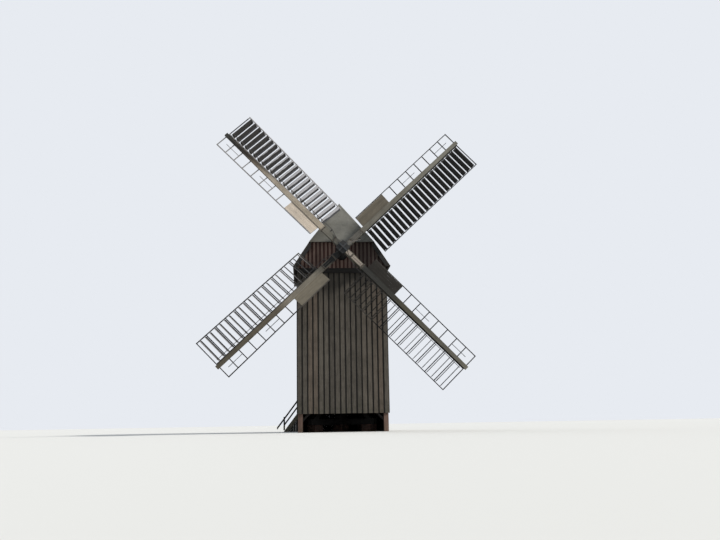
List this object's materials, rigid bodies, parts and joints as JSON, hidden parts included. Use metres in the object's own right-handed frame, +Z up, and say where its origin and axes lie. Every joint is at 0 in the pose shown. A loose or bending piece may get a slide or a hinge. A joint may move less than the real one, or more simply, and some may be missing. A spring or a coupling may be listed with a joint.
{
  "type": "traditional timber post windmill",
  "caption": "Timber post mill: boarded body on a trestle, half-hipped felt roof, rear stair and shuttered sails turning on a raised windshaft.",
  "frame": {"origin": "on the ground under the middle of the main post, at the underside of the middle pier", "axes": "+Z up, -Y forwards to the sails, +X to the right hand of the body seen from behind the camera that faces its front"},
  "size_m": [17.9232, 10.5238, 20.2376],
  "materials": {
    "wall_boards": "weathered vertical boards, grey-brown",
    "gable_boards": "weathered vertical boards, reddish brown",
    "roof_felt": "grey bitumen felt in courses, with algae",
    "verge_wood": "grey weathered planks",
    "frame_timber": "old squared timber, dark brown",
    "floor_boards": "worn planks",
    "masonry": "old brick with pale mortar",
    "prop_timber": "pinkish brown timber",
    "dark_boards": "tarred boards, almost black",
    "stair_wood": "dark weathered timber",
    "door_wood": "brown boarded door",
    "shaft_timber": "dark tarred timber",
    "stock_timber": "weathered grey-brown timber",
    "sail_wood": "thin weathered laths",
    "shutter_wood": "weathered grey shutters",
    "plank_wood": "sun-bleached planks",
    "iron": "dark grey iron"
  },
  "bodies": {
    "mill": {"wall_front": "wall_boards", "wall_left": "wall_boards", "wall_right": "wall_boards", "wall_rear": "wall_boards", "gable_front": "gable_boards", "gable_beam": "frame_timber", "roof_left": "roof_felt", "roof_right": "roof_felt", "roof_front_hip": "roof_felt", "roof_rear_hip": "roof_felt", "ridge_cap": "roof_felt", "verge_boards": "verge_wood", "corner_posts": "frame_timber", "side_sills": "frame_timber", "end_sills": "frame_timber", "wall_plates": "frame_timber", "crown_tree": "frame_timber", "side_girts": "frame_timber", "floor_joists": "frame_timber", "floor": "floor_boards", "piers": "masonry", "cross_tree_lower": "frame_timber", "cross_tree_upper": "frame_timber", "quarterbars": "frame_timber", "main_post": "frame_timber", "corner_props": "prop_timber", "side_screens": "dark_boards", "rear_screen": "dark_boards", "stair_stringers": "stair_wood", "stair_treads": "stair_wood", "landing": "stair_wood", "handrails": "stair_wood", "stair_boarding": "dark_boards", "rear_door": "door_wood", "door_trim": "verge_wood", "weather_beam": "frame_timber", "tail_beam": "frame_timber", "neck_bearing": "iron", "tail_bearing": "iron"},
    "sails": {"windshaft": "shaft_timber", "poll_end": "iron", "stock_outer": "stock_timber", "stock_inner": "stock_timber", "stock_bands": "iron", "spider": "iron", "shutter_rods": "iron", "leading_planks": "plank_wood", "sail_frame_upper_left": "sail_wood", "shutters_upper_left": "shutter_wood", "sail_frame_upper_right": "sail_wood", "shutters_upper_right": "shutter_wood", "sail_frame_lower_right": "sail_wood", "shutters_lower_right": "shutter_wood", "sail_frame_lower_left": "sail_wood", "shutters_lower_left": "shutter_wood"}
  },
  "joints": [
    {"name": "sail_turn", "type": "hinge", "parent": "mill", "child": "sails", "pos_m": [0, -4.95, 11.3], "axis": [0, -0.9962, 0.0872], "continuous": true}
  ]
}
